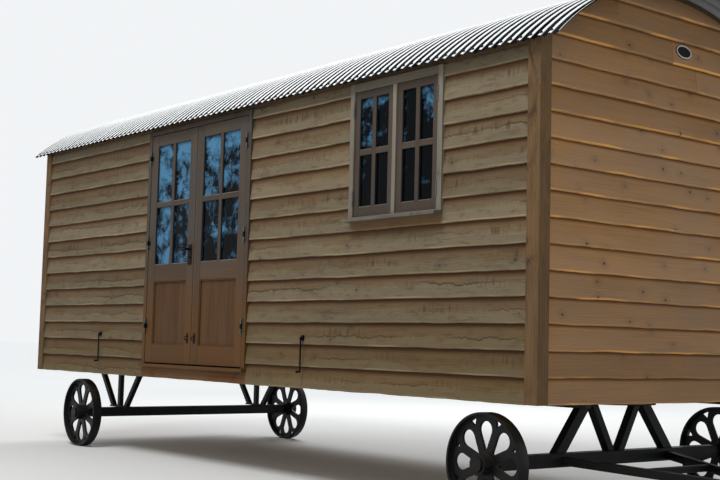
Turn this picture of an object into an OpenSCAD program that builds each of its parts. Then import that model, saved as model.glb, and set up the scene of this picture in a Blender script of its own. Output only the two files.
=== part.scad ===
// Shepherds hut: a timber-clad cabin under an arched corrugated roof, on a steel chassis
// with four cast-iron wheels. Millimetres, +Z up, Z = 0 on the ground. The door side faces -Y
// and the tow bar points along +X.

/* [Body] */
// Length over the corner posts
body_l = 6310; // [5600:10:7000]
// Width over the corner posts
body_w = 2400; // [2200:10:2600]
// Height of the cladding's lower edge above the ground
skirt_z = 650; // [640:5:760]
// Height of the walls from the cladding's lower edge to the eave plates
wall_h = 2005; // [1990:5:2100]
// Thickness of the walls over cladding and frame
wall_t = 80; // [60:5:85]
// Width of a corner post along the hut
post_x = 97; // [90:1:120]
// Width of a corner post across the hut
post_y = 90; // [90:1:120]
// Thickness of the floor boards
floor_t = 28; // [20:1:40]
// Height from the cladding's lower edge to the top of the floor
floor_rise = 85; // [80:1:95]

/* [Cladding] */
// Height of one course of boards
course_h = 148.5; // [110:0.5:190]
// Distance of the boards' lower edges behind the posts' faces
board_in = 5; // [2:1:12]
// Distance that a board leans back from its lower to its upper edge
board_lean = 17; // [8:1:22]
// Thickness of the skirt of cladding below the floor
skirt_t = 28; // [25:1:40]

/* [Roof] */
// Rise of the arch from the eaves to the crown
roof_rise = 506; // [450:2:620]
// Overhang of the roof at the eaves
eave_out = 75; // [70:1:120]
// Overhang of the roof at the tow-bar end
verge_out = 198; // [120:2:260]
// Overhang of the roof at the far end
far_verge_out = 122; // [60:2:260]
// Height of the roof's edge above the walls' top
eave_lift = 10; // [8:1:30]
// Pitch of the corrugations
corr_pitch = 76.2; // [70:0.1:90]
// Depth of the corrugations
corr_depth = 18; // [14:0.5:24]
// Thickness of the roof sheets
sheet_t = 1.2; // [1:0.1:2]
// Thickness of the curved roof boards
deck_t = 18; // [12:1:25]
// Depth of a curved rib
rib_depth = 60; // [45:1:80]
// Thickness of a curved rib
rib_t = 45; // [35:1:60]
// Number of curved ribs
rib_count = 11; // [7:1:13]
// Thickness of the ceiling boards under the ribs
lining_t = 12; // [9:1:18]

/* [Doorway] */
// Distance of the doorway's middle from the hut's middle, towards the far end
door_off = 430; // [300:10:600]
// Width over the door frame
door_frame_w = 1500; // [1400:10:1600]
// Width of a jamb's face
jamb_w = 45; // [40:1:60]
// Depth of the rebate that the leaves close on
stop_w = 15; // [10:1:20]
// Distance of the door frame's face in front of the posts' faces
door_proud = 3; // [0:1:10]
// Height of the door head
head_h = 35; // [30:1:50]
// Thickness of the threshold above the floor
sill_t = 25; // [20:1:30]
// Projection of the threshold in front of the posts
sill_out = 28; // [20:1:40]
// Thickness of a door leaf
leaf_t = 54; // [44:1:60]
// Running gap round a leaf
leaf_gap = 5; // [5:0.5:8]
// Gap under a leaf
leaf_floor_gap = 10; // [8:1:15]
// Width of a leaf's stiles
stile_w = 98; // [85:1:110]
// Height of a leaf's top rail
top_rail = 90; // [70:1:110]
// Height of a leaf's middle rail
mid_rail = 135; // [100:1:160]
// Height of a leaf's bottom rail
bottom_rail = 146; // [120:1:180]
// Height of the boarded panel
panel_h = 503; // [400:1:560]
// Thickness of the boarded panel
panel_t = 18; // [12:1:24]
// Width of a glazing bar
bar_w = 36; // [30:1:60]
// Thickness of the glass units
glass_t = 20; // [12:1:24]
// Distance of the glass behind a frame's face
glass_in = 16; // [12:1:20]
// Bevel on a leaf's meeting edge
meet_bevel = 4; // [2:0.5:6]

/* [Door ironwork] */
// Radius of a hinge knuckle
knuckle_r = 7; // [6:0.5:9]
// Radius of a hinge pin
hinge_pin_r = 3; // [2:0.5:4]
// Length of a whole hinge
hinge_l = 110; // [80:2:120]
// Radial clearance round a hinge pin
hinge_clear = 0.3; // [0.1:0.1:0.5]
// Gap between knuckles
knuckle_gap = 0.5; // [0.3:0.1:1]
// Thickness of a hinge flap
flap_t = 2; // [1.5:0.5:3]
// Width of a hinge flap on the jamb
jamb_flap = 24; // [16:1:28]
// Width of a hinge flap on the leaf
leaf_flap = 28; // [20:1:32]
// Height of the lowest hinge above the leaf's lower edge
hinge_low = 295; // [200:5:400]
// Height of the middle hinge above the leaf's lower edge
hinge_mid = 965; // [900:5:1050]
// Depth of the highest hinge below the leaf's upper edge
hinge_top = 185; // [120:5:260]
// Height of the lever's spindle above the leaf's lower edge
lever_z = 890; // [800:10:1000]
// Height of the lever's back plate
plate_h = 156; // [120:2:200]
// Width of the lever's back plate
plate_w = 48; // [30:1:50]
// Thickness of the lever's back plate
plate_t = 6; // [4:1:8]
// Height of the back plate above the spindle
plate_up = 36; // [30:1:50]
// Length of the lever
lever_l = 100; // [90:1:130]
// Radius of the lever's bar
lever_r = 8; // [6:1:10]
// Distance that the lever's neck stands out from the leaf
lever_out = 52; // [45:1:56]
// Drop of the key cylinder below the spindle
key_drop = 62; // [50:1:80]
// Radius of the key cylinder
key_r = 9; // [8:1:11]
// Height of the staples above the leaves' lower edges
staple_z = 200; // [150:5:260]
// Height of a staple's plate
staple_h = 76; // [34:1:80]
// Width of a staple's plate
staple_w = 22; // [18:1:34]
// Thickness of a staple's plate
staple_t = 3; // [2:0.5:4]
// Height of a staple's bow
staple_bow = 30; // [24:1:34]
// Distance that a staple's bow stands out from the leaf
staple_out = 22; // [14:1:26]
// Radius of the rod that staples are bent from
staple_r = 3; // [2.5:0.5:4]
// Length of the hooks that hold the open leaves
hook_l = 235; // [150:5:240]
// Height of the hooks' plates above the cladding's lower edge
hook_rise = 341; // [260:1:420]
// Radius of a hook's rod
hook_r = 6; // [3:0.5:7]
// Distance of a hanging hook in front of the posts' faces
hook_out = 14; // [10:1:16]
// Length of the tip that a hook turns out with
hook_tip = 26; // [15:1:30]
// Radius of the ball on a hook's tip
hook_ball_r = 9; // [8:0.5:10]
// Width of a hook's plate
hook_plate_w = 24; // [20:1:30]
// Height of a hook's plate
hook_plate_h = 36; // [30:1:44]
// Distance of the left hook beyond the open left leaf
hook_gap_left = 88; // [20:1:140]
// Distance of the right hook beyond the open right leaf
hook_gap_right = 42; // [20:1:140]

/* [Window] */
// Distance of the window's middle from the tow-bar end
window_in = 1233; // [900:1:1600]
// Width over the window frame
window_w = 887; // [700:1:1000]
// Height of the window frame
window_h = 887; // [700:1:1000]
// Width of the frame's jambs
window_bar = 42; // [35:1:60]
// Width of the mullion between the casements
mullion_w = 34; // [28:1:60]
// Height of the frame's head
window_head = 54; // [40:1:70]
// Height of the frame's bottom member
window_foot = 10; // [8:1:60]
// Distance of the window frame's face in front of the posts' faces
window_proud = 3; // [0:1:30]
// Width of a casement's stiles and top rail
casement_bar = 50; // [40:1:60]
// Height of a casement's bottom rail
casement_foot = 62; // [45:1:75]
// Width of a casement's glazing bars
glazing_bar = 34; // [25:1:50]
// Thickness of a casement
casement_t = 50; // [40:1:56]
// Distance of the casements' faces behind the frame's face
casement_in = 10; // [2:1:14]
// Height of the window sill
window_sill_h = 24; // [20:1:50]
// Length of the sill beyond the frame at each side
sill_horn = 0; // [0:1:40]
// Fall of the sill's weathered top
sill_fall = 5; // [3:1:16]
// Projection of the window sill in front of the posts
window_sill_out = 59; // [50:1:72]

/* [Plaque] */
// Width of the oval plate on the tow-bar end
plaque_w = 156; // [120:1:170]
// Height of the oval plate
plaque_h = 92; // [70:1:100]
// Thickness of the oval plate
plaque_t = 4; // [3:0.5:6]
// Distance of the oval plate from the hut's middle
plaque_y = 110; // [0:5:200]
// Height of the oval plate above the cladding's lower edge
plaque_rise = 2167; // [2145:1:2170]

/* [Chassis] */
// Height of the chassis rails
rail_h = 80; // [70:1:90]
// Width of the chassis rails
rail_w = 50; // [40:1:60]
// Distance of the rails from the hut's middle
rail_y = 745; // [700:5:800]
// Number of cross members
cross_count = 7; // [5:1:9]
// Height of the cross members
cross_h = 50; // [40:1:52]
// Width of the cross members
cross_w = 50; // [40:1:60]
// Clearance of the cross members inside the skirt
cross_in = 10; // [5:1:20]

/* [Wheels and axles] */
// Diameter of the wheels
wheel_d = 590; // [560:2:600]
// Width of the wheels' tread
wheel_w = 80; // [60:1:100]
// Distance between the wheels' outer faces
track_w = 2320; // [2200:10:2360]
// Distance of the front axle behind the tow-bar end
front_axle_in = 455; // [400:5:600]
// Distance of the rear axle from the far end
rear_axle_in = 800; // [600:5:1000]
// Width and height of the axle beams
beam = 80; // [60:1:90]
// Length of the round collars at a beam's ends
collar_l = 30; // [20:1:40]
// Radius of the axle stubs
stub_r = 25; // [20:1:30]
// Radial clearance of a wheel on its stub
bearing_clear = 0.1; // [0.05:0.01:0.1]
// Thickness of the caps on the stubs' ends
cap_t = 12; // [8:1:16]
// Radius of the caps on the stubs' ends
cap_r = 42; // [36:1:50]
// Radius of the wheel hubs
hub_r = 62; // [50:1:75]
// Length of the wheel hubs
hub_l = 120; // [100:2:140]
// Distance that the hubs stand out from the middle of the tread
hub_shift = 15; // [0:1:25]
// Side play of a wheel on its stub
side_play = 1; // [0.5:0.1:2]
// Thickness of the rim
rim_t = 16; // [12:1:24]
// Thickness of the wheel's web
web_t = 18; // [12:1:26]
// Number of spokes
spokes = 8; // [6:1:10]
// Radius of the outer end of an opening between spokes
leaf_hole_r = 49; // [40:1:54]
// Radius of the inner end of an opening between spokes
leaf_hole_tip = 7; // [5:1:10]
// Breadth of metal between an opening and the rim
leaf_hole_edge = 34; // [28:1:40]
// Breadth of metal between an opening and the hub
leaf_hole_root = 26; // [20:1:34]
// Depth of the hole in a spoke's fork
fork_depth = 44; // [30:1:50]
// Width of the hole in a spoke's fork
fork_w = 53; // [40:1:60]
// Width of the rear struts
rear_strut = 40; // [30:1:50]
// Level width of a leaning rear strut
rear_brace_w = 50; // [36:1:60]
// Spread of the rear struts at the rail
rear_spread = 335; // [250:5:400]
// Spread of the rear struts at the axle
rear_foot = 118; // [90:2:140]
// Thickness of the plate under the rear struts
rear_plate_t = 12; // [8:1:16]
// Depth of the front truss along the hut
front_strut = 56; // [40:1:64]
// Level width of an outer front strut across the hut
outer_strut_w = 88; // [60:1:92]
// Level width of an inner front strut across the hut
inner_strut_w = 56; // [50:1:60]
// Distance of the outer front struts' feet from the middle
outer_foot = 520; // [480:5:560]
// Distance of the outer front struts' tops from the middle
outer_top = 285; // [270:5:300]
// Distance of the inner front struts' feet from the middle
inner_foot = 46; // [40:1:60]
// Distance of the inner front struts' tops from the middle
inner_top = 210; // [190:5:215]

/* [Turntable and tow bar] */
// Outer radius of the turntable plates
turn_r = 260; // [230:5:300]
// Inner radius of the turntable plates
turn_hole_r = 190; // [150:5:210]
// Thickness of a turntable plate
turn_t = 15; // [12:1:16]
// Running gap between the turntable plates
turn_gap = 0.5; // [0.3:0.1:1]
// Half length of the bolsters across the turntable
bolster_half = 340; // [330:5:420]
// Half width of a bolster
bolster_w = 50; // [40:1:60]
// Distance of the bearers over the turntable from the axle
bearer_x = 200; // [180:5:240]
// Half width of a bearer
bearer_w = 25; // [20:1:30]
// Radius of the kingpin
kingpin_r = 20; // [16:1:24]
// Length of the tow bar from the axle to its eye
tow_l = 1400; // [1000:10:1600]
// Half spread of the tow bar at the axle
tow_spread = 500; // [300:10:560]
// Slope of the tow bar, in degrees
tow_slope = 4.5; // [2:0.5:8]
// Width of the tow bar's arms
arm_w = 50; // [40:1:60]
// Outer radius of the tow eye
eye_r = 45; // [40:1:55]
// Length of the tow bar's nose in front of the arms
nose_l = 150; // [120:5:200]
// Width of the nose
nose_w = 90; // [80:1:110]
// Overlap of the nose and the arms
nose_lap = 60; // [50:1:80]
// Half spread of the arms at the nose
nose_spread = 20; // [15:1:25]
// Distance of the tow bar's cross bar from the axle
cross_bar_x = 480; // [350:5:600]
// Width and height of the tow bar's cross bar
cross_bar = 40; // [30:1:44]
// Radius of the tow eye's bore
eye_bore_r = 20; // [16:1:25]
// Thickness of the tow eye
eye_t = 30; // [25:1:40]

/* [Hidden] */

larch = [0.72, 0.56, 0.38];
oak = [0.55, 0.40, 0.27];
zinc = [0.78, 0.80, 0.82];
iron = [0.09, 0.09, 0.10];
pane = [0.55, 0.66, 0.70, 0.5];

half_l = body_l / 2;
half_w = body_w / 2;
wall_top = skirt_z + wall_h;
floor_z = skirt_z + floor_rise;
// Clearance of a curved piece on its seat
seat = 0.3;

// Arch of the roof: a circle through both eaves and the crown
eave_half = half_w + eave_out;
eave_z = wall_top + eave_lift;
roof_r = (eave_half * eave_half + roof_rise * roof_rise) / (2 * roof_rise);
arch_z = eave_z + roof_rise - roof_r;
sheet_in_r = roof_r - corr_depth - sheet_t;
deck_r = sheet_in_r - seat;
deck_in_r = deck_r - deck_t;
wall_arch_r = deck_in_r - seat;
roof_span = far_verge_out + body_l + verge_out;
corrugations = round(roof_span / corr_pitch);
roof_l = corrugations * corr_pitch;
roof_x0 = -half_l - far_verge_out + (roof_span - roof_l) / 2;

// Doorway
door_x0 = -door_off - door_frame_w / 2;
door_x1 = door_x0 + door_frame_w;
frame_face_y = -half_w - door_proud;
leaf_w = (door_frame_w - 2 * jamb_w - 3 * leaf_gap) / 2;
leaf_z0 = floor_z + sill_t + leaf_floor_gap;
leaf_z1 = wall_top - head_h - leaf_gap;
leaf_h = leaf_z1 - leaf_z0;
leaf_y = -half_w;
left_leaf_x = door_x0 + jamb_w + leaf_gap;
right_leaf_x = door_x1 - jamb_w - leaf_gap;
glazed_z = bottom_rail + panel_h + mid_rail;
pane_h = (leaf_h - glazed_z - top_rail - bar_w) / 2;
pane_w = (leaf_w - 2 * stile_w - bar_w) / 2;
// Hinge axes stand in front of the frame's face, over the running gap
hinge_y = frame_face_y - knuckle_r - flap_t / 4;
left_hinge_x = left_leaf_x - leaf_gap / 2;
right_hinge_x = right_leaf_x + leaf_gap / 2;
hinge_zs = [leaf_z0 + hinge_low, leaf_z0 + hinge_mid, leaf_z1 - hinge_top];

// Window
window_x0 = half_l - window_in - window_w / 2;
window_x1 = window_x0 + window_w;
window_z0 = wall_top - window_h;
window_y = -half_w - window_proud;
casement_w = (window_w - 2 * window_bar - mullion_w) / 2;
casement_h = window_h - window_head - window_foot;

// Chassis
rail_z1 = floor_z - floor_t;
rail_z0 = rail_z1 - rail_h;
cross_z0 = rail_z1 - cross_h;
front_axle_x = half_l - front_axle_in;
rear_axle_x = -half_l + rear_axle_in;
axle_z = wheel_d / 2;
half_track = (track_w - wheel_w) / 2;
hub_in = half_track + hub_shift - hub_l / 2;
hub_out = hub_in + hub_l;
beam_l = 2 * (hub_in - side_play - collar_l);
turn_upper_z = cross_z0 - turn_t;
turn_lower_z = turn_upper_z - turn_gap - turn_t;
truss_z0 = axle_z + beam / 2;
truss_z1 = turn_lower_z;

// Place along X that puts the origin under the middle of the whole object
tow_tip_x = front_axle_x + tow_l + eye_r;
origin_x = (tow_tip_x + roof_x0) / 2;

// The solids are drawn about the hut's middle and moved here to the origin
module placed() {
    translate([-origin_x, 0, 0]) children();
}

// Box between two corners
module block(low, high) {
    translate(low) cube(high - low);
}

// Round bar along X, Y or Z between two distances
module bar_x(r, x0, x1, y, z) {
    translate([x0, y, z]) rotate([0, 90, 0]) cylinder(r = r, h = x1 - x0, $fn = 48);
}
module bar_y(r, x, y0, y1, z) {
    translate([x, y0, z]) rotate([-90, 0, 0]) cylinder(r = r, h = y1 - y0, $fn = 48);
}

// Outline of a brace with level cut ends between two points, face wide
function brace(p, q, face) = [
    [p[0] - face / 2, p[1]], [p[0] + face / 2, p[1]],
    [q[0] + face / 2, q[1]], [q[0] - face / 2, q[1]]
];

// Brace in the XZ plane, w deep along Y
module brace_xz(p, q, y, w, face) {
    translate([0, y + w / 2, 0]) rotate([90, 0, 0]) linear_extrude(w) polygon(brace(p, q, face));
}

// Brace in the YZ plane, w deep along X
module brace_yz(p, q, x, w, face) {
    translate([x - w / 2, 0, 0]) rotate([90, 0, 90]) linear_extrude(w) polygon(brace(p, q, face));
}

// Solid cylinder under the roof, along X
module under_arch(r) {
    translate([roof_x0, 0, arch_z]) rotate([0, 90, 0]) cylinder(r = r, h = roof_l, $fn = 180);
}

// Outline of a wall: depth behind the posts' faces against height above the skirt
function boards(h) = [
    for (i = [0:ceil(h / course_h) - 1]) each [
        [board_in, i * course_h],
        [board_in + board_lean * min(1, (h - i * course_h) / course_h), min(h, (i + 1) * course_h)]
    ]
];
function wall_outline(h) = concat(
    boards(h),
    [[wall_t + board_in, h], [wall_t + board_in, floor_rise], [skirt_t, floor_rise], [skirt_t, 0]]
);

// Length of clad wall on the door side, between two places along X
module front_wall(x0, x1, h = wall_h) {
    color(larch) translate([x0, -half_w, skirt_z]) rotate([90, 0, 90]) linear_extrude(x1 - x0)
        polygon(wall_outline(h));
}

// Wall on the far side of the doorway, with the skirt board that runs on under the threshold
module front_wall_left() {
    front_wall(-half_l + post_x, door_x0);
    color(larch) translate([door_x0, -half_w, skirt_z]) rotate([90, 0, 90]) linear_extrude(door_frame_w)
        polygon([[board_in, 0], [board_in + board_lean * floor_rise / course_h, floor_rise],
            [skirt_t, floor_rise], [skirt_t, 0]]);
}
module front_wall_middle() {
    front_wall(door_x1, window_x0);
}
module front_wall_below_window() {
    front_wall(window_x0, window_x1, wall_h - window_h - window_sill_h);
}
module front_wall_right() {
    front_wall(window_x1, half_l - post_x);
}
module back_wall() {
    rotate([0, 0, 180]) front_wall(-half_l + post_x, half_l - post_x);
}

// Gable end, clad up to the curved roof boards
gable_h = arch_z + wall_arch_r - skirt_z;
module gable() {
    color(larch) intersection() {
        translate([half_l, half_w - post_y, skirt_z]) rotate([90, 0, 0])
            linear_extrude(body_w - 2 * post_y)
                polygon([for (p = wall_outline(gable_h)) [-p[0], p[1]]]);
        under_arch(wall_arch_r);
    }
}
module right_end_wall() {
    gable();
}
module left_end_wall() {
    rotate([0, 0, 180]) gable();
}

module corner_posts() {
    color(oak) intersection() {
        for (sx = [-1, 1], sy = [-1, 1])
            translate([sx * (half_l - post_x / 2), sy * (half_w - post_y / 2), skirt_z + gable_h / 2])
                cube([post_x, post_y, gable_h], center = true);
        under_arch(wall_arch_r);
    }
}

// Long timbers on top of the side walls, bevelled to the arch
module eave_plates() {
    back = board_in + board_lean;
    color(larch) intersection() {
        for (side = [0, 180]) rotate([0, 0, side])
            block([-half_l + post_x, -half_w + back, wall_top],
                [half_l - post_x, -half_w + post_y, arch_z + roof_r]);
        under_arch(wall_arch_r);
    }
}

// Floor boards, cut out round the posts
module floor_deck() {
    color(larch) difference() {
        block([-half_l + skirt_t, -half_w + skirt_t, rail_z1],
            [half_l - skirt_t, half_w - skirt_t, floor_z]);
        for (sx = [-1, 1], sy = [-1, 1])
            translate([sx * half_l, sy * half_w, rail_z1])
                cube([2 * post_x, 2 * post_y, 3 * floor_t], center = true);
    }
}

// Arched shell between two radii and two places along X, cut off level with half a width
module arch_shell(r_in, r_out, x0, x1, half) {
    sweep = 2 * asin(half / r_out);
    translate([x0, 0, arch_z]) rotate([0, 90, 0]) rotate([0, 0, 180 - sweep / 2])
        rotate_extrude(angle = sweep, $fn = 180)
            translate([r_in, 0]) square([r_out - r_in, x1 - x0]);
}

// Curved ribs under the roof boards, and the ceiling boards under the ribs
rib_reach = half_w - post_y;
module between_plates(x0, x1) {
    intersection() {
        children();
        block([x0, -rib_reach, 0], [x1, rib_reach, arch_z + roof_r]);
    }
}
module roof_ribs() {
    span = body_l - 2 * (board_in + wall_t) - rib_t;
    color(larch) for (i = [0:rib_count - 1])
        translate([-span / 2 + i * span / (rib_count - 1), 0, 0]) between_plates(-rib_t, rib_t)
            arch_shell(wall_arch_r - rib_depth, wall_arch_r, -rib_t / 2, rib_t / 2, half_w);
}
module roof_lining() {
    inner = half_l - board_in - wall_t;
    r = wall_arch_r - rib_depth - seat;
    color(larch) between_plates(-inner, inner) arch_shell(r - lining_t, r, -inner, inner, half_w);
}

module roof_deck() {
    color(larch) arch_shell(deck_in_r, deck_r, -half_l, half_l, half_w);
}

// One sheet of corrugated iron over the whole roof, its waves running over the arch
wave_steps = 6;
function wave(i) = [
    roof_r - corr_depth / 2 + corr_depth / 2 * cos(360 * i / wave_steps),
    i * corr_pitch / wave_steps
];
module roof_sheets() {
    steps = corrugations * wave_steps;
    sweep = 2 * asin(eave_half / roof_r);
    outline = concat(
        [for (i = [0:steps]) wave(i)],
        [for (i = [steps:-1:0]) wave(i) - [sheet_t, 0]]
    );
    color(zinc) translate([roof_x0, 0, arch_z]) rotate([0, 90, 0]) rotate([0, 0, 180 - sweep / 2])
        rotate_extrude(angle = sweep, $fn = 180) polygon(outline);
}

// Doorway: jambs with stops behind the leaves, head and threshold
inner_y = -half_w + board_in + wall_t;
stop_y = leaf_y + leaf_t + leaf_gap;
module jamb(x0, side) {
    color(oak) translate([x0, 0, floor_z]) linear_extrude(wall_top - floor_z)
        polygon([[0, frame_face_y], [side * jamb_w, frame_face_y], [side * jamb_w, stop_y],
            [side * (jamb_w + stop_w), stop_y], [side * (jamb_w + stop_w), inner_y], [0, inner_y]]);
}
module door_jambs() {
    jamb(door_x0, 1);
    jamb(door_x1, -1);
}
module door_head() {
    color(oak) {
        block([door_x0 + jamb_w, frame_face_y, wall_top - head_h], [door_x1 - jamb_w, stop_y, wall_top]);
        block([door_x0 + jamb_w + stop_w, stop_y, wall_top - head_h - stop_w],
            [door_x1 - jamb_w - stop_w, inner_y, wall_top]);
    }
}
module door_sill() {
    color(oak) {
        block([door_x0 + jamb_w, -half_w + skirt_t, floor_z],
            [door_x1 - jamb_w, stop_y, floor_z + sill_t]);
        block([door_x0 + jamb_w + stop_w, stop_y, floor_z],
            [door_x1 - jamb_w - stop_w, inner_y, floor_z + sill_t]);
        block([door_x0, -half_w - sill_out, floor_z], [door_x1, -half_w - door_proud, floor_z + sill_t]);
        block([door_x0 + jamb_w, -half_w - door_proud, floor_z],
            [door_x1 - jamb_w, -half_w + skirt_t, floor_z + sill_t]);
    }
}

// Frame of a leaf, drawn with its hinge edge at x = 0 and its meeting edge at leaf_w
module leaf_frame() {
    glazed_x = leaf_w - stile_w;
    color(oak) {
        linear_extrude(leaf_h) square([stile_w, leaf_t]);
        linear_extrude(leaf_h)
            polygon([[glazed_x, 0], [leaf_w, 0], [leaf_w - meet_bevel, leaf_t], [glazed_x, leaf_t]]);
        block([stile_w, 0, 0], [glazed_x, leaf_t, bottom_rail]);
        block([stile_w, 0, bottom_rail + panel_h], [glazed_x, leaf_t, glazed_z]);
        block([stile_w, 0, leaf_h - top_rail], [glazed_x, leaf_t, leaf_h]);
        block([stile_w + pane_w, 0, glazed_z], [stile_w + pane_w + bar_w, leaf_t, leaf_h - top_rail]);
        for (x = [stile_w, stile_w + pane_w + bar_w])
            block([x, 0, glazed_z + pane_h], [x + pane_w, leaf_t, glazed_z + pane_h + bar_w]);
    }
}
module leaf_glass() {
    color(pane) for (ix = [0, 1], iz = [0, 1])
        translate([stile_w + ix * (pane_w + bar_w), glass_in, glazed_z + iz * (pane_h + bar_w)])
            cube([pane_w, glass_t, pane_h]);
}
module leaf_panel() {
    color(oak) block([stile_w, glass_in, bottom_rail],
        [leaf_w - stile_w, glass_in + panel_t, bottom_rail + panel_h]);
}
module at_left_leaf() {
    translate([left_leaf_x, leaf_y, leaf_z0]) children();
}
module at_right_leaf() {
    translate([right_leaf_x, leaf_y, leaf_z0]) mirror([1, 0, 0]) children();
}
module left_leaf_frame() {
    at_left_leaf() leaf_frame();
}
module left_leaf_glass() {
    at_left_leaf() leaf_glass();
}
module left_leaf_panel() {
    at_left_leaf() leaf_panel();
}
module right_leaf_frame() {
    at_right_leaf() leaf_frame();
}
module right_leaf_glass() {
    at_right_leaf() leaf_glass();
}
module right_leaf_panel() {
    at_right_leaf() leaf_panel();
}

// Butt hinge: two outer knuckles and the pin stay on the jamb, the middle one on the leaf
third = (hinge_l - 2 * knuckle_gap) / 3;
module jamb_hinge(x, z, side) {
    translate([x, hinge_y, z - hinge_l / 2]) {
        cylinder(r = hinge_pin_r, h = hinge_l, $fn = 32);
        for (z0 = [0, hinge_l - third]) translate([0, 0, z0]) {
            cylinder(r = knuckle_r, h = third, $fn = 32);
            block([min(0, -side * jamb_flap), frame_face_y - hinge_y - flap_t, 0],
                [max(0, -side * jamb_flap), frame_face_y - hinge_y, third]);
        }
    }
}
module door_hinges() {
    color(iron) for (z = hinge_zs) {
        jamb_hinge(left_hinge_x, z, 1);
        jamb_hinge(right_hinge_x, z, -1);
    }
}
module leaf_knuckle(z) {
    flap_y = leaf_y - hinge_y;
    translate([-leaf_gap / 2, hinge_y - leaf_y, z - leaf_z0 - third / 2]) difference() {
        union() {
            cylinder(r = knuckle_r, h = third, $fn = 32);
            block([0, flap_y - flap_t, 0], [leaf_flap, flap_y, third]);
            block([0, 0, 0], [knuckle_r, flap_y, third]);
        }
        translate([0, 0, -1]) cylinder(r = hinge_pin_r + hinge_clear, h = third + 2, $fn = 32);
    }
}
// Staple on the leaf's meeting stile that takes the hook on the wall
module staple() {
    bow = staple_bow / 2;
    translate([leaf_w - stile_w / 2, 0, staple_z]) {
        block([-staple_w / 2, -staple_t, -staple_h / 2], [staple_w / 2, 0, staple_h / 2]);
        for (s = [-1, 1]) bar_y(staple_r, 0, -staple_out, -staple_t / 2, s * (bow - staple_r));
        translate([0, -staple_out, -bow]) cylinder(r = staple_r, h = 2 * bow, $fn = 24);
    }
}

// Lever with its back plate and key cylinder, on the left leaf's meeting stile
module lever_set() {
    bar_out = lever_out - lever_r + 2;
    translate([leaf_w - stile_w / 2, 0, lever_z]) {
        block([-plate_w / 2, -plate_t, plate_up - plate_h], [plate_w / 2, 0, plate_up]);
        bar_y(lever_r + 2, 0, -lever_out, -plate_t / 2, 0);
        bar_x(lever_r, -lever_l, 0, -bar_out, 0);
        translate([0, -bar_out, 0]) sphere(r = lever_r + 3, $fn = 32);
        bar_y(key_r, 0, -2 * plate_t, -plate_t / 2, -key_drop);
    }
}
module left_leaf_ironwork() {
    color(iron) at_left_leaf() {
        for (z = hinge_zs) leaf_knuckle(z);
        staple();
        lever_set();
    }
}
module right_leaf_ironwork() {
    color(iron) at_right_leaf() {
        for (z = hinge_zs) leaf_knuckle(z);
        staple();
    }
}

// Hooks that hang on the wall and hold the open leaves: each plate bears on a leaning board
module cabin_hook(x) {
    up = (hook_rise - hook_plate_h / 2) % course_h;
    back = board_in + board_lean * up / course_h - seat;
    translate([x, -half_w, skirt_z + hook_rise]) {
        block([-hook_plate_w / 2, -hook_r, -hook_plate_h / 2],
            [hook_plate_w / 2, back, hook_plate_h / 2]);
        bar_y(hook_r, 0, -hook_out - hook_r, 0, 0);
        translate([0, -hook_out, -hook_l]) cylinder(r = hook_r, h = hook_l, $fn = 24);
        bar_y(hook_r, 0, -hook_out - hook_tip, -hook_out, hook_r - hook_l);
        translate([0, -hook_out - hook_tip, hook_r - hook_l]) sphere(r = hook_ball_r, $fn = 32);
    }
}
module cabin_hooks() {
    color(iron) {
        cabin_hook(left_hinge_x - leaf_w - hook_gap_left);
        cabin_hook(right_hinge_x + leaf_w + hook_gap_right);
    }
}

// Window: frame with a mullion, two fixed casements of four panes, projecting sill
module window_frame() {
    color(oak) difference() {
        block([window_x0, window_y, window_z0], [window_x1, inner_y, wall_top]);
        for (i = [0, 1])
            translate([window_x0 + window_bar + i * (casement_w + mullion_w), window_y - 1,
                window_z0 + window_foot])
                cube([casement_w, inner_y - window_y + 2, casement_h]);
    }
}
module window_sill() {
    color(oak) translate([window_x0 - sill_horn, 0, window_z0 - window_sill_h]) rotate([90, 0, 90])
        linear_extrude(window_w + 2 * sill_horn)
            polygon([[-half_w - window_sill_out, 0], [-half_w + board_in, 0],
                [-half_w + board_in, window_sill_h], [window_y, window_sill_h],
                [-half_w - window_sill_out, window_sill_h - sill_fall]]);
    color(oak) block([window_x0, -half_w + board_in, window_z0 - window_sill_h],
        [window_x1, inner_y, window_z0]);
}
module at_casements() {
    for (i = [0, 1])
        translate([window_x0 + window_bar + i * (casement_w + mullion_w), window_y + casement_in,
            window_z0 + window_foot]) children();
}
light_w = (casement_w - 2 * casement_bar - glazing_bar) / 2;
light_h = (casement_h - casement_foot - casement_bar - glazing_bar) / 2;
module window_lights(inset, t) {
    for (ix = [0, 1], iz = [0, 1])
        translate([casement_bar + ix * (light_w + glazing_bar), inset,
            casement_foot + iz * (light_h + glazing_bar)]) cube([light_w, t, light_h]);
}
module window_casements() {
    color(oak) at_casements() difference() {
        cube([casement_w, casement_t, casement_h]);
        window_lights(-1, casement_t + 2);
    }
}
module window_glass() {
    color(pane) at_casements() window_lights(glass_in, glass_t);
}

// Bare oval plate that lies on a leaning board of the tow-bar end
function oval(w, h, n) = [for (i = [0:n - 1]) [w / 2 * cos(360 * i / n), h / 2 * sin(360 * i / n)]];
module end_plaque() {
    up = plaque_rise % course_h;
    lean = atan(board_lean / course_h);
    color(iron) translate([half_l - board_in - board_lean * up / course_h, plaque_y, skirt_z + plaque_rise])
        rotate([0, 90 - lean, 0]) linear_extrude(plaque_t) polygon(oval(plaque_h, plaque_w, 64));
}

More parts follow.
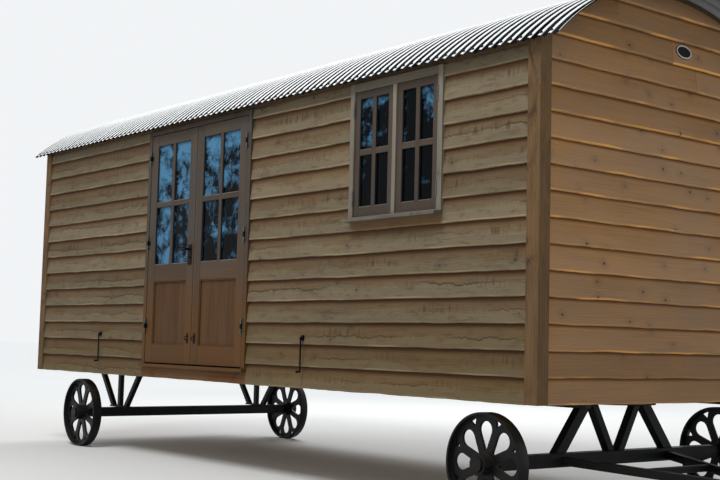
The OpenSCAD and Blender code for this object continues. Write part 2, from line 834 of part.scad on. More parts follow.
// Chassis: two rails and cross members that carry the floor
module chassis_rails() {
    color(iron) for (s = [-1, 1])
        translate([0, s * rail_y, (rail_z0 + rail_z1) / 2])
            cube([body_l - 2 * skirt_t, rail_w, rail_h], center = true);
}
module cross_members() {
    reach = half_w - skirt_t - cross_in;
    end_x = half_l - post_x - cross_w / 2;
    color(iron) for (i = [0:cross_count - 1]) {
        x = -end_x + i * 2 * end_x / (cross_count - 1);
        for (span = [[-reach, -rail_y - rail_w / 2], [-rail_y + rail_w / 2, rail_y - rail_w / 2],
                [rail_y + rail_w / 2, reach]])
            block([x - cross_w / 2, span[0], cross_z0], [x + cross_w / 2, span[1], rail_z1]);
    }
}

// Axle beam with its two turned stubs and the caps that keep the wheels on
module axle(x) {
    stub_end = hub_out + side_play;
    translate([x - beam / 2, -beam_l / 2, axle_z - beam / 2]) cube([beam, beam_l, beam]);
    bar_y(stub_r, x, -stub_end, stub_end, axle_z);
    bar_y(beam / 2, x, -beam_l / 2 - collar_l, beam_l / 2 + collar_l, axle_z);
    for (y = [-stub_end - cap_t, stub_end]) bar_y(cap_r, x, y, y + cap_t, axle_z);
}
module front_axle_beam() {
    color(iron) axle(front_axle_x);
}
module rear_axle_beam() {
    color(iron) axle(rear_axle_x);
}

// Rear struts: at each rail an upright between two braces that lean out along the rail
module rear_axle_struts() {
    reach = rear_foot + rear_strut;
    foot_z = truss_z0 + rear_plate_t;
    color(iron) for (s = [-1, 1]) {
        block([rear_axle_x - reach, s * rail_y - rail_w / 2, truss_z0],
            [rear_axle_x + reach, s * rail_y + rail_w / 2, foot_z]);
        for (lean = [-1, 0, 1])
            brace_xz([rear_axle_x + lean * rear_foot, foot_z], [rear_axle_x + lean * rear_spread, rail_z0],
                s * rail_y, rear_strut, lean == 0 ? rear_strut : rear_brace_w);
    }
}

// Turntable: a ring on the chassis over a ring on the front axle, joined by the kingpin
module turn_ring(z) {
    translate([front_axle_x, 0, z]) difference() {
        cylinder(r = turn_r, h = turn_t, $fn = 96);
        translate([0, 0, -1]) cylinder(r = turn_hole_r, h = turn_t + 2, $fn = 96);
    }
}
module turn_bar(z) {
    block([front_axle_x - bolster_w, -bolster_half, z],
        [front_axle_x + bolster_w, bolster_half, z + turn_t]);
}
module turntable_upper() {
    color(iron) {
        turn_ring(turn_upper_z);
        turn_bar(turn_upper_z);
        for (s = [-1, 1])
            block([front_axle_x + s * bearer_x - bearer_w, -rail_y + rail_w / 2, cross_z0],
                [front_axle_x + s * bearer_x + bearer_w, rail_y - rail_w / 2, rail_z1]);
        translate([front_axle_x, 0, turn_lower_z - turn_t / 2])
            cylinder(r = kingpin_r, h = turn_upper_z - turn_lower_z + turn_t, $fn = 48);
    }
}
module turntable_lower() {
    color(iron) difference() {
        union() {
            turn_ring(turn_lower_z);
            turn_bar(turn_lower_z);
        }
        translate([front_axle_x, 0, turn_lower_z - 1])
            cylinder(r = kingpin_r + bearing_clear, h = turn_t + 2, $fn = 48);
    }
}

// Front truss: two pairs of struts from the axle beam up to the turntable
module front_axle_truss() {
    color(iron) for (s = [-1, 1], leg = [[outer_foot, outer_top, outer_strut_w],
        [inner_foot, inner_top, inner_strut_w]])
        brace_yz([s * leg[0], truss_z0], [s * leg[1], truss_z1], front_axle_x, front_strut, leg[2]);
}

// Tow bar: two arms that meet at the nose and its eye, with a cross bar between them
tow_start = beam / 2;
tow_nose = tow_l - nose_l;
tow_drop = tan(tow_slope);
eye_z0 = axle_z - tow_nose * tow_drop - eye_t / 2;
// Outline of an arm, from one height or side at the axle to another at the nose
function tow_strip(v0, v1) = [
    [tow_start, v0 + arm_w / 2], [tow_nose, v1 + arm_w / 2],
    [tow_nose, v1 - arm_w / 2], [tow_start, v0 - arm_w / 2]
];
module tow_arm(side) {
    reach = tow_spread + arm_w;
    translate([front_axle_x, 0, axle_z]) intersection() {
        translate([0, reach, 0]) rotate([90, 0, 0]) linear_extrude(2 * reach)
            polygon(tow_strip(-tow_start * tow_drop, -tow_nose * tow_drop));
        translate([0, 0, -axle_z]) linear_extrude(2 * axle_z)
            polygon(tow_strip(side * tow_spread, side * nose_spread));
    }
}
module tow_bar() {
    half = tow_spread - (tow_spread - nose_spread) * (cross_bar_x - tow_start) / (tow_nose - tow_start);
    bar_z = axle_z - cross_bar_x * tow_drop;
    color(iron) {
        tow_arm(-1);
        tow_arm(1);
        block([front_axle_x + cross_bar_x - cross_bar / 2, -half, bar_z - cross_bar / 2],
            [front_axle_x + cross_bar_x + cross_bar / 2, half, bar_z + cross_bar / 2]);
        difference() {
            union() {
                block([front_axle_x + tow_nose - nose_lap, -nose_w / 2, eye_z0],
                    [front_axle_x + tow_l - eye_r * 0.8, nose_w / 2, eye_z0 + eye_t]);
                translate([front_axle_x + tow_l, 0, eye_z0]) cylinder(r = eye_r, h = eye_t, $fn = 64);
            }
            translate([front_axle_x + tow_l, 0, eye_z0 - 1])
                cylinder(r = eye_bore_r, h = eye_t + 2, $fn = 64);
        }
    }
}

// Cast wheel: rim, thin web with leaf-shaped openings and a hole in each spoke's fork, hub
rim_in = wheel_d / 2 - rim_t;
function arc_points(r, c, a0, a1, n) = [
    for (i = [0:n]) c + r * [cos(a0 + (a1 - a0) * i / n), sin(a0 + (a1 - a0) * i / n)]
];
leaf_out = rim_in - leaf_hole_edge - leaf_hole_r;
leaf_in = hub_r + leaf_hole_root;
module web_opening() {
    lean = asin((leaf_hole_r - leaf_hole_tip) / (leaf_out - leaf_in));
    polygon(concat(
        arc_points(leaf_hole_r, [leaf_out, 0], -90 - lean, 90 + lean, 12),
        arc_points(leaf_hole_tip, [leaf_in, 0], 90 + lean, 270 - lean, 4)
    ));
}
module fork_hole() {
    out = rim_in - rim_t / 2;
    polygon([[out, -fork_w / 2], [out, fork_w / 2], [out - fork_depth, 0]]);
}
module wheel(x, side) {
    color(iron) translate([x, side * half_track, axle_z]) rotate([90, 0, 0]) {
        difference() {
            translate([0, 0, -wheel_w / 2]) cylinder(r = wheel_d / 2, h = wheel_w, $fn = 120);
            translate([0, 0, -wheel_w / 2 - 1]) cylinder(r = rim_in, h = wheel_w + 2, $fn = 120);
        }
        difference() {
            translate([0, 0, -web_t / 2]) cylinder(r = rim_in + 1, h = web_t, $fn = 120);
            translate([0, 0, -web_t]) cylinder(r = hub_r - 5, h = 2 * web_t, $fn = 64);
            for (i = [0:spokes - 1]) translate([0, 0, -web_t]) linear_extrude(2 * web_t) {
                rotate(360 * i / spokes) web_opening();
                rotate(360 * (i + 0.5) / spokes) fork_hole();
            }
        }
        difference() {
            translate([0, 0, -hub_l / 2 - side * hub_shift]) cylinder(r = hub_r, h = hub_l, $fn = 64);
            translate([0, 0, -hub_l]) cylinder(r = stub_r + bearing_clear, h = 2 * hub_l, $fn = 64);
        }
    }
}
module front_wheel_door_side() {
    wheel(front_axle_x, -1);
}
module front_wheel_back_side() {
    wheel(front_axle_x, 1);
}
module rear_wheel_door_side() {
    wheel(rear_axle_x, -1);
}
module rear_wheel_back_side() {
    wheel(rear_axle_x, 1);
}

placed() chassis_rails();
placed() cross_members();
placed() floor_deck();
placed() corner_posts();
placed() front_wall_left();
placed() front_wall_middle();
placed() front_wall_below_window();
placed() front_wall_right();
placed() back_wall();
placed() left_end_wall();
placed() right_end_wall();
placed() eave_plates();
placed() roof_lining();
placed() roof_ribs();
placed() roof_deck();
placed() roof_sheets();
placed() door_jambs();
placed() door_head();
placed() door_sill();
placed() door_hinges();
placed() cabin_hooks();
placed() window_frame();
placed() window_sill();
placed() window_casements();
placed() window_glass();
placed() end_plaque();
placed() rear_axle_beam();
placed() rear_axle_struts();
placed() turntable_upper();
placed() left_leaf_frame();
placed() left_leaf_glass();
placed() left_leaf_panel();
placed() left_leaf_ironwork();
placed() right_leaf_frame();
placed() right_leaf_glass();
placed() right_leaf_panel();
placed() right_leaf_ironwork();
placed() front_axle_beam();
placed() front_axle_truss();
placed() turntable_lower();
placed() tow_bar();
placed() front_wheel_door_side();
placed() front_wheel_back_side();
placed() rear_wheel_door_side();
placed() rear_wheel_back_side();
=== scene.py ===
import math
import random

import bpy
from mathutils import Matrix, Vector


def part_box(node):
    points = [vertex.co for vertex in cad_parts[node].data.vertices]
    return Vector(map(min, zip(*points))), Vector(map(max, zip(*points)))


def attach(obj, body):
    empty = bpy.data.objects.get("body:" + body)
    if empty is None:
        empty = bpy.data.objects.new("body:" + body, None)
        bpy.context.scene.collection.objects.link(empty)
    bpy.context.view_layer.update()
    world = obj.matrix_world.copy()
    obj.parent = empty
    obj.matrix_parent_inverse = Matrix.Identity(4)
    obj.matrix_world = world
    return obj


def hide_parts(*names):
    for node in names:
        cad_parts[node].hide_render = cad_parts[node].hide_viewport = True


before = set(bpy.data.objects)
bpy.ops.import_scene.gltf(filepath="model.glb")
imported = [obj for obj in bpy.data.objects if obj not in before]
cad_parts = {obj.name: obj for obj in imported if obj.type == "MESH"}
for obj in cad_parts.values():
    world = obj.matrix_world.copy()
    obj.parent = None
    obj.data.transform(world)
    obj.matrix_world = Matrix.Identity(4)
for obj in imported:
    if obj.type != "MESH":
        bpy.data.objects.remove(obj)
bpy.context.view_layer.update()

random.seed(7)

# Chassis: two rolled steel rails with cross members welded between them under the floor.
# They are sprayed satin black, with road dust on what faces up and a few chips gone to rust.


def tone(code):
    """A colour as a paint chart gives it, such as 8c7a5e, turned into light."""
    parts = [int(code[i:i + 2], 16) / 255 for i in (0, 2, 4)]
    return tuple(c / 12.92 if c < 0.04045 else ((c + 0.055) / 1.055) ** 2.4 for c in parts) + (1,)


class Wire:
    """A socket of a finish. Sums on it add Math nodes, and add() puts in any other node."""

    def __init__(self, tree, socket=None):
        self.tree, self.socket = tree, socket

    def add(self, kind, settings=None, sockets=None, out=0):
        node = self.tree.nodes.new("ShaderNode" + kind)
        for name, value in (settings or {}).items():
            setattr(node, name, value)
        for name, value in (sockets or {}).items():
            if isinstance(value, Wire):
                self.tree.links.new(value.socket, node.inputs[name])
            else:
                node.inputs[name].default_value = value
        return Wire(self.tree, node.outputs[out])

    def sum(self, operation, left, right):
        return self.add("Math", {"operation": operation}, {0: left, 1: right})

    def __add__(self, other):
        return self.sum("ADD", self, other)

    def __radd__(self, other):
        return self.sum("ADD", other, self)

    def __sub__(self, other):
        return self.sum("SUBTRACT", self, other)

    def __rsub__(self, other):
        return self.sum("SUBTRACT", other, self)

    def __mul__(self, other):
        return self.sum("MULTIPLY", self, other)

    def __rmul__(self, other):
        return self.sum("MULTIPLY", other, self)

    def between(self, start, end):
        """0 below start and 1 above end, with a soft step between them."""
        return self.add("MapRange", {"interpolation_type": "SMOOTHSTEP"},
                        {"Value": self, "From Min": start, "From Max": end})

    def noise(self, scale, detail=3.0, rough=0.5, warp=0.0):
        return self.add("TexNoise", None, {"Vector": self, "Scale": scale, "Detail": detail,
                                           "Roughness": rough, "Distortion": warp})

    def axes(self):
        return [self.add("SeparateXYZ", None, {0: self}, out) for out in (0, 1, 2)]

    def point(self, x, y, z):
        """A place made of three axes, for a pattern that is drawn out along one of them."""
        return self.add("CombineXYZ", None, {0: x, 1: y, 2: z})

    def blend(self, first, second):
        """From the first colour to the second as this socket goes from 0 to 1."""
        return self.add("Mix", {"data_type": "RGBA"}, {0: self, 6: first, 7: second}, 2)


def finish(name, slot, **constants):
    """A new material for a slot of the record, its shader, and the place that its pattern follows."""
    material = bpy.data.materials.new(name)
    material["slot"] = slot
    material.use_nodes = True
    shader = material.node_tree.nodes["Principled BSDF"]
    for socket, value in constants.items():
        shader.inputs[socket.replace("_", " ").title().replace("Ior", "IOR")].default_value = value
    return material, shader, Wire(material.node_tree).add("TexCoord", None, None, "Object")


def lay(shader, socket, wire):
    """Feeds a varying value or colour to one socket of a shader."""
    wire.tree.links.new(wire.socket, shader.inputs[socket])


def relief(shader, height, depth):
    """Raises the surface by a pattern, depth in metres."""
    bump = height.add("Bump", None, {"Height": height, "Strength": 1.0, "Distance": depth})
    lay(shader, "Normal", bump)


def steel_paint(name, slot, colour, dust, gloss, coat=0.1):
    """Sprayed paint on steel, with dust that settles on it."""
    material, shader, place = finish(name, slot, coat_roughness=0.3, specular_ior_level=0.09)
    up = place.add("NewGeometry", None, None, "Normal").axes()[2]
    speck = place.noise(38, 5, 0.65)
    cloud = place.noise(2.4, 4, 0.6)
    dusty = up.between(-0.3, 0.9) * cloud.between(0.3, 0.75) * dust
    dusty = dusty + speck.between(0.62, 0.8) * dust * 0.4
    chips = place.noise(110, 2).between(0.72, 0.76) * cloud.between(0.5, 0.62)
    lay(shader, "Base Color", chips.blend(dusty.blend(tone(colour), tone("8a7658")), tone("54301b")))
    lay(shader, "Roughness", gloss + dusty * 0.45 + speck * 0.08)
    lay(shader, "Coat Weight", coat - dusty * coat)
    relief(shader, speck + chips * -0.6, 0.0004)
    return material


def dress(node, material, edge=0.0):
    """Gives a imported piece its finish, with its arrises eased by edge metres."""
    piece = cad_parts[node]
    for slot in piece.material_slots:
        slot.material = material
    if edge:
        weld = piece.modifiers.new("weld", "WELD")
        weld.merge_threshold = 0.00002
        ease = piece.modifiers.new("ease", "BEVEL")
        ease.width, ease.segments, ease.limit_method, ease.angle_limit = edge, 2, "ANGLE", 0.7


chassis_black = steel_paint("chassis_black", "black_steel", "101214", dust=0.14, gloss=0.42)
for node in ("chassis_rails", "cross_members"):
    dress(node, chassis_black, edge=0.004)

# Cladding: boards sawn from larch with the natural edge left on, nailed one over the next from
# the skirt upwards and cut square against the corner posts, the door frame and the window.
# Rain has bleached the open part of each board and left a dark tide mark below the lap. Shade under
# each lap and under the eave, and light on the lower edges, are painted into the colour.

COURSE = 0.1485
LAP = 0.03
BOARD_THICK = 0.017
THINNED_BY = 0.009
BUTT_GAP = 0.001
first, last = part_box("corner_posts")
MID = (first.x + last.x) / 2
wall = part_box("front_wall_left")
FACE, INNER_FACE = wall[0].y, wall[1].y
SKIRT, WALL_TOP = wall[0].z, wall[1].z
posts = (wall[0].x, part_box("front_wall_right")[1].x)
door_gap = [corner.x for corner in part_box("door_jambs")]
window_gap = [corner.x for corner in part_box("window_frame")]


def lapped(place, wood, body, field, grey, lap, shelter):
    """What the weather does to lapped boards, and where shade and light are painted on them.

    lap gives the colours of the open part, of the dry wood under the lap with painted shade on it, of
    the painted highlight on the lower edge, and how clear the tide mark is. shelter is the stretch
    under the window sill that rain doesn't reach.
    """
    u, v, tint = field
    open_part, dry_and_shade, painted_edge_highlight, tide = lap
    layer = tint * 43
    x, _, z = place.axes()
    height = place.add("Attribute", {"attribute_name": "rise"}, None, "Fac")
    wander = place.point(u * 2.3, layer, 0).noise(1.0, 5, 0.62)
    comb = place.point(u * 60, layer, height * 1.5).noise(1.0, 2)
    above = height - (wander * 0.8 + tint * 0.3 - 0.05) - (comb - 0.5) * 0.2 * tide
    soft = 0.16 + (1 - tide) * 0.46
    bleached = above.between(soft, -soft) * 0.75 + place.noise(1.7, 3, 0.6) * 0.2
    wood = bleached.blend(wood, body.between(0.1, 1.0).blend(tone(open_part), tone(grey)))
    if tide:
        strong = place.point(u * 0.9, layer, 7).noise(1.0, 2).between(0.47, 0.6)
        mark = above.between(-0.03, 0.0) * above.between(0.07, 0.01)
        wood = (mark * strong * tide * 0.85).blend(wood, tone("33241a"))
        drip = place.point(u * 46, height * 1.1, layer).noise(1.0, 2).between(0.5, 0.66)
        run = place.point(u * 1.6, layer, 11).noise(1.0, 2).between(0.46, 0.6)
        band = height.between(0.3, 0.5) * height.between(0.9, 0.6)
        wood = (drip * run * band * 0.62).blend(wood, tone("3c2b1c"))
        mottle = place.point(u * 9, v * 26, layer).noise(1.0, 5, 0.68)
        wood = (mottle.between(0.49, 0.69) * 0.42).blend(wood, tone("41311e"))
        # Painted shade: the boards darken under the eave, where its shadow falls.
        painted_eave_shade = z.between(2.61, 2.73)
        wood = (painted_eave_shade * 0.65).blend(wood, tone("3a2b1b"))
        low_down = z.between(1.3, 0.75)
        wood = (low_down * 0.3).blend(wood, tone("674e22"))
    else:
        top_and_foot = z.between(2.3, 3.0) * 0.28 + z.between(1.2, 0.65) * 0.28
        wood = top_and_foot.blend(wood, tone("543b22"))
    if shelter:
        start, end = shelter
        sill = x.between(start, start + 0.05) * x.between(end + 0.04, end - 0.01)
        sill = sill * z.between(1.675, 1.7) * z.between(1.76, 1.75)
        wood = (sill * 0.6).blend(wood, tone("65431f"))
    # Painted shade under each lap, over the warmer wood that the lap keeps dry.
    wood = (height.between(0.84 - 0.16 * tide, 0.97) * 0.9).blend(wood, tone(dry_and_shade))
    # Painted highlight: the lower edge of each board is lightened in patches, as if catching the light.
    lit = place.point(u * 1.9, layer, 3).noise(1.0, 4).between(0.44, 0.64)
    return (height.between(0.1, 0.03) * (lit * 0.8 + 0.15)).blend(wood, tone(painted_edge_highlight))


def timber(name, slot, pale, deep, along=None, knotty=0.7, rings=380, lap=None, grey="7d6f62",
           aged=0.45, gloss=0.62, foot=None, shelter=None):
    """Sawn timber. The grain follows the piece's own map, or one axis where along is given.

    The nearer knotty is to 1, the fewer the knots. rings is how close the growth rings lie, aged how
    much of the wood is grey, and foot the warmer colour of what is low on the hut.
    """
    material, shader, place = finish(name, slot, specular_ior_level=0.16)
    if along is None:
        u, v, _ = place.add("UVMap").axes()
        tint = place.add("Attribute", {"attribute_name": "tint"}, None, "Fac")
    else:
        across = place.axes()
        u = across.pop(along)
        v = across[0] + across[1]
        tint = place.noise(0.7, 1)
    layer = tint * 43
    cells = {"Vector": place.point(u * 5 + layer, v * 6, 0), "Scale": 1.0}
    near = place.add("TexVoronoi", {"voronoi_dimensions": "2D"}, cells, "Distance")
    chance = place.add("TexVoronoi", {"voronoi_dimensions": "2D"}, cells, "Color").axes()[0]
    there = chance.between(knotty, knotty + 0.04)
    near = near + (1 - chance) * 0.5 * (1 - knotty)
    knot = near.between(0.08, 0.03) * there
    halo = near.between(0.36, 0.06) * there
    slow = place.point(u * 1.3, v * 7, layer).noise(1.0, 3, 0.5)
    streak = place.point(u * 2.2, v * 62, layer).noise(1.0, 4, 0.6)
    fibre = place.point(u * 26, v * 700, layer).noise(1.0, 2)
    wave = v * rings + slow * 34 + halo * 7
    ring = place.add("Math", {"operation": "SINE"}, {0: wave}) * 0.5 + 0.5
    body = ring * 0.16 + streak * 0.5 + (slow - 0.5) * 0.7 + fibre * 0.2 + halo * 0.25
    wood = body.between(0.15, 1.0).blend(tone(pale), tone(deep))
    patch = place.noise(1.7, 3, 0.6)
    wood = (patch.between(0.35, 0.75) * aged).blend(wood, tone(grey))
    if foot:
        wood = (place.axes()[2].between(1.75, 1.05) * 0.85).blend(wood, tone(foot))
    if lap:
        wood = lapped(place, wood, body, (u, v, tint), grey, lap, shelter)
    wood = (knot * 0.85).blend(wood, tone("3a2415"))
    shade = tint.blend((0.82, 0.79, 0.74, 1), (1.12, 1.11, 1.09, 1))
    darken = {"data_type": "RGBA", "blend_type": "MULTIPLY"}
    lay(shader, "Base Color", place.add("Mix", darken, {0: 1.0, 6: wood, 7: shade}, 2))
    lay(shader, "Roughness", gloss + streak * 0.2 - knot * 0.15)
    relief(shader, ring * 0.3 + fibre * 0.35 + streak * 0.6 - knot * 0.5, 0.0009)
    return material


def deselect():
    if bpy.context.mode != "OBJECT":
        bpy.ops.object.mode_set(mode="OBJECT")
    bpy.ops.object.select_all(action="DESELECT")


def block(name, start, end):
    """A squared piece between two corners, left as the active object."""
    deselect()
    bpy.ops.mesh.primitive_cube_add(size=1, location=[(a + b) / 2 for a, b in zip(start, end)])
    piece = bpy.context.object
    piece.scale = [abs(b - a) for a, b in zip(start, end)]
    bpy.ops.object.transform_apply()
    piece.name = piece.data.name = name
    return piece


def pick(piece, wanted, kind="VERT"):
    """In edit mode, selects the corners, edges or faces whose place passes a test."""
    bpy.ops.object.mode_set(mode="EDIT")
    bpy.ops.mesh.select_mode(type=kind)
    bpy.ops.mesh.select_all(action="DESELECT")
    bpy.ops.object.mode_set(mode="OBJECT")
    mesh = piece.data
    for part in {"VERT": mesh.vertices, "EDGE": mesh.edges, "FACE": mesh.polygons}[kind]:
        if kind == "VERT":
            part.select = wanted(part.co)
        else:
            part.select = wanted([mesh.vertices[i].co for i in part.vertices])
    bpy.ops.object.mode_set(mode="EDIT")


def grain(piece, along):
    """Maps the piece in metres along its grain, shifted so that no two pieces match."""
    bpy.ops.object.mode_set(mode="OBJECT")
    mesh = piece.data
    others = [i for i in (0, 1, 2) if i != along]
    shift, tint = random.uniform(0, 9), random.random()
    for loop in mesh.loops:
        co = mesh.vertices[loop.vertex_index].co
        across = co[others[0]] + co[others[1]]
        mesh.uv_layers[0].data[loop.index].uv = (co[along] + shift, across + shift * 0.7)
    mesh.attributes.new("tint", "FLOAT", "POINT").data.foreach_set("value", [tint] * len(mesh.vertices))
    return piece


def gather(name, pieces, material, body, *stands_for):
    """Joins pieces of one kind, and lets them ride on a body of the hut."""
    deselect()
    for piece in pieces:
        piece.select_set(True)
    bpy.context.view_layer.objects.active = pieces[0]
    if len(pieces) > 1:
        bpy.ops.object.join()
    piece = bpy.context.object
    piece.name = piece.data.name = name
    piece.data.materials.clear()
    piece.data.materials.append(material)
    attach(piece, body)
    if stands_for:
        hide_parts(*stands_for)
    deselect()
    return piece


def height_up(piece, z):
    """Notes how far up its board each corner is, so that the weather marks, the painted shade under the
    laps and the painted highlight on the edges follow the wavy edge.
    """
    field = piece.data.attributes.get("rise") or piece.data.attributes.new("rise", "FLOAT", "POINT")
    field.data.foreach_set("value", [(vertex.co.z - z) / COURSE for vertex in piece.data.vertices])


def board(x0, x1, course, rise=COURSE + LAP, wane=0.005):
    """One board of the door side: leaning, thinner at its top, its long edges cut up for waviness."""
    z = SKIRT + course * COURSE
    middle = z + rise / 2
    back = FACE + BOARD_THICK
    lean = BOARD_THICK * rise / COURSE
    length = x1 - x0
    piece = block("board", (x0, FACE, z), (x1, back, z + rise))
    pick(piece, lambda co: co.z > middle)
    bpy.ops.transform.translate(value=(0, lean, 0))
    pick(piece, lambda co: co.z > middle and co.y > back + lean / 2)
    bpy.ops.transform.translate(value=(0, -THINNED_BY, 0))
    pick(piece, lambda ends: abs(ends[0].x - ends[1].x) > 0.9 * length, "EDGE")
    bpy.ops.mesh.subdivide(number_cuts=max(1, int(length / 0.04)))
    pick(piece, lambda ends: all(co.z < z + 0.001 and co.y < FACE + 0.005 for co in ends), "EDGE")
    bpy.ops.mesh.bevel(offset=wane, segments=2)
    grain(piece, 0)
    height_up(piece, z)
    edge = piece.vertex_groups.new(name="edge")
    edge.add([v.index for v in piece.data.vertices if v.co.z < z + 0.02], 1.0, "ADD")
    return piece


def weather(piece, coarse=0.011, fine=0.003):
    """Lets the lower edges wander as the side of the tree did."""
    deselect()
    piece.select_set(True)
    bpy.context.view_layer.objects.active = piece
    for name, size, depth in (("slow", 0.3, coarse), ("quick", 0.05, fine)):
        texture = bpy.data.textures.new(name, "CLOUDS")
        texture.noise_scale, texture.noise_depth = size, 2
        wave = piece.modifiers.new(name, "DISPLACE")
        wave.texture, wave.texture_coords, wave.direction = texture, "LOCAL", "Z"
        wave.vertex_group, wave.strength, wave.mid_level = "edge", depth, 0.5
        bpy.ops.object.modifier_apply(modifier=name)


courses = 14
window_course = 7
top_rise = WALL_TOP - SKIRT - (courses - 1) * COURSE - 0.0003
sill_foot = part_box("front_wall_below_window")[1].z
threshold_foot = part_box("door_sill")[0].z


def rise_of(course):
    """How high a board of the sides stands: its course and a lap, or less under the eave plate."""
    return top_rise if course == courses - 1 else COURSE + LAP


def carry(piece, turn, shift):
    """Carries pieces that were made for the door side to the back or to an end."""
    about = Matrix.Translation((MID, 0, 0)) @ Matrix.Rotation(turn, 4, "Z")
    piece.data.transform(about @ Matrix.Translation(shift))


# In each lap the second colour is the dry wood under the lap with painted shade, the third the painted
# highlight on the lower edge.
larch = timber("larch_door_side", "larch_boards", "6a553b", "453523", knotty=0.84, shelter=window_gap,
               lap=("756a55", "462a12", "8f8166", 1.0), grey="5f5848")
larch_end = timber("larch_ends", "larch_boards", "a67b4b", "72502d", knotty=0.72, aged=0.8,
                   lap=("a47f5b", "573718", "dda45a", 0.0), grey="84705d")
# A darker, warmer finish for the skirt board under the threshold.
larch_dark_under_threshold = timber("larch_under_threshold", "larch_boards", "6c4722", "4a2f16", knotty=0.8, aged=0.2)

left = [board(posts[0], door_gap[0], i, rise_of(i)) for i in range(courses)]
weather(gather("cladding_left_of_doors", left, larch, "hut", "front_wall_left"))

under = [board(door_gap[0] + BUTT_GAP, door_gap[1] - BUTT_GAP, 0, threshold_foot - SKIRT)]
weather(gather("skirt_under_threshold", under, larch_dark_under_threshold, "hut"))

right = []
for i in range(courses):
    if i < window_course:
        right.append(board(door_gap[1], posts[1], i, rise_of(i)))
    else:
        right.append(board(door_gap[1], window_gap[0], i, rise_of(i)))
        right.append(board(window_gap[1], posts[1], i, rise_of(i)))
right.append(board(*window_gap, window_course, sill_foot - SKIRT - window_course * COURSE))
weather(gather("cladding_right_of_doors", right, larch, "hut",
               "front_wall_middle", "front_wall_below_window", "front_wall_right"))

back = []
for i in range(courses):
    joint = MID + random.choice((-1.3, -0.6, 0.0, 0.7, 1.4))
    back.append(board(posts[0], joint - BUTT_GAP, i, rise_of(i)))
    back.append(board(joint + BUTT_GAP, posts[1], i, rise_of(i)))
back = gather("cladding_back", back, larch, "hut", "back_wall")
carry(back, math.pi, (-MID, 0, 0))
weather(back)

EAVE_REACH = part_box("roof_sheets")[1].y
ARCH_RISE = 0.506
CROWN = 3.171
ARCH_R = (EAVE_REACH ** 2 + ARCH_RISE ** 2) / (2 * ARCH_RISE)
ARCH_Z = CROWN - ARCH_R
GABLE_R = 1.8215
END_SHIFT = ((last.x - first.x) - (last.y - first.y)) / 2
gable_courses = 17
gable_seams = {13: 0.24, 14: 0.0}


def gable(name, turn, node):
    """The boards of one end, the top ones cut to the arch with a saw round the roof boards."""
    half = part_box(node)[1].y
    deselect()
    bpy.ops.mesh.primitive_cylinder_add(vertices=180, radius=GABLE_R, depth=8,
                                        location=(0, 0, ARCH_Z), rotation=(math.pi / 2, 0, 0))
    saw = bpy.context.object
    bpy.ops.object.transform_apply()
    boards = []
    for i in range(gable_courses):
        runs = [(-half, half)]
        if i in gable_seams:
            runs = [(-half, gable_seams[i] - BUTT_GAP), (gable_seams[i] + BUTT_GAP, half)]
        for x0, x1 in runs:
            piece = board(x0, x1, i, wane=0.011)
            if i >= courses - 1:
                cut = piece.modifiers.new("cut", "BOOLEAN")
                cut.operation, cut.object = "INTERSECT", saw
                bpy.ops.object.modifier_apply(modifier="cut")
                height_up(piece, SKIRT + i * COURSE)
            boards.append(piece)
    bpy.data.objects.remove(saw)
    piece = gather(name, boards, larch_end, "hut", node)
    carry(piece, turn, (0, -END_SHIFT, 0))
    weather(piece, coarse=0.013)


gable("cladding_tow_bar_end", math.pi / 2, "right_end_wall")
gable("cladding_far_end", -math.pi / 2, "left_end_wall")

# Corner posts: squared oak, its grain upright, fixed to the end frames and left bare. The long
# wall plates and the curved ribs behind the lining are sawn softwood.

post_oak = timber("post_oak", "oak_posts", "705639", "332518", along=2, knotty=0.8, rings=420,
                  grey="544a3c")
dress("corner_posts", post_oak, edge=0.003)
softwood = timber("sawn_softwood", "softwood", "6a5236", "4a3823", along=0, knotty=0.8, grey="574a3a")
for node in ("eave_plates", "roof_ribs"):
    dress(node, softwood)

# Lining: tongued and grooved boards on the inside of the studs, a V between each and the next,
# and curved boards over the ceiling. They are pine, waxed and left pale.

MATCHBOARD = 0.12
MATCHBOARD_GAP = 0.0005
LINING_THICK = 0.012
CEILING_R = 1.8
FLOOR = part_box("floor_deck")[1].z
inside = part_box("roof_lining")
pine = timber("waxed_pine", "softwood", "cdb083", "a9834f", knotty=0.7, rings=300, gloss=0.45)
pine_ceiling = timber("waxed_pine_ceiling", "softwood", "cdb083", "a9834f", along=0, knotty=0.7,
                      gloss=0.45)
dress("roof_lining", pine_ceiling)
floor_larch = timber("floor_boards", "softwood", "a98a5f", "7d5f3a", along=0, knotty=0.75, gloss=0.5)
dress("floor_deck", floor_larch)


def copy_of(piece, move):
    """A copy with a mesh of its own, moved to its place."""
    copy = piece.copy()
    copy.data = piece.data.copy()
    bpy.context.collection.objects.link(copy)
    copy.data.transform(move)
    return copy


def lining(x0, x1, top):
    """Matchboards on the door side's studs, from the floor up to a height."""
    pattern = block("lining", (x0, INNER_FACE - LINING_THICK, FLOOR),
                    (x1, INNER_FACE, FLOOR + MATCHBOARD - MATCHBOARD_GAP))
    pick(pattern, lambda ends: all(co.y > INNER_FACE - 0.001 for co in ends)
         and abs(ends[0].z - ends[1].z) < 0.01, "EDGE")
    bpy.ops.mesh.bevel(offset=0.003, segments=1)
    bpy.ops.object.mode_set(mode="OBJECT")
    rows = []
    for row in range(int(math.ceil((top - FLOOR) / MATCHBOARD - 0.01))):
        copy = copy_of(pattern, Matrix.Translation((0, 0, row * MATCHBOARD)))
        for vertex in copy.data.vertices:
            vertex.co.z = min(vertex.co.z, top)
        bpy.context.view_layer.objects.active = copy
        rows.append(grain(copy, 0))
    bpy.data.objects.remove(pattern)
    return rows


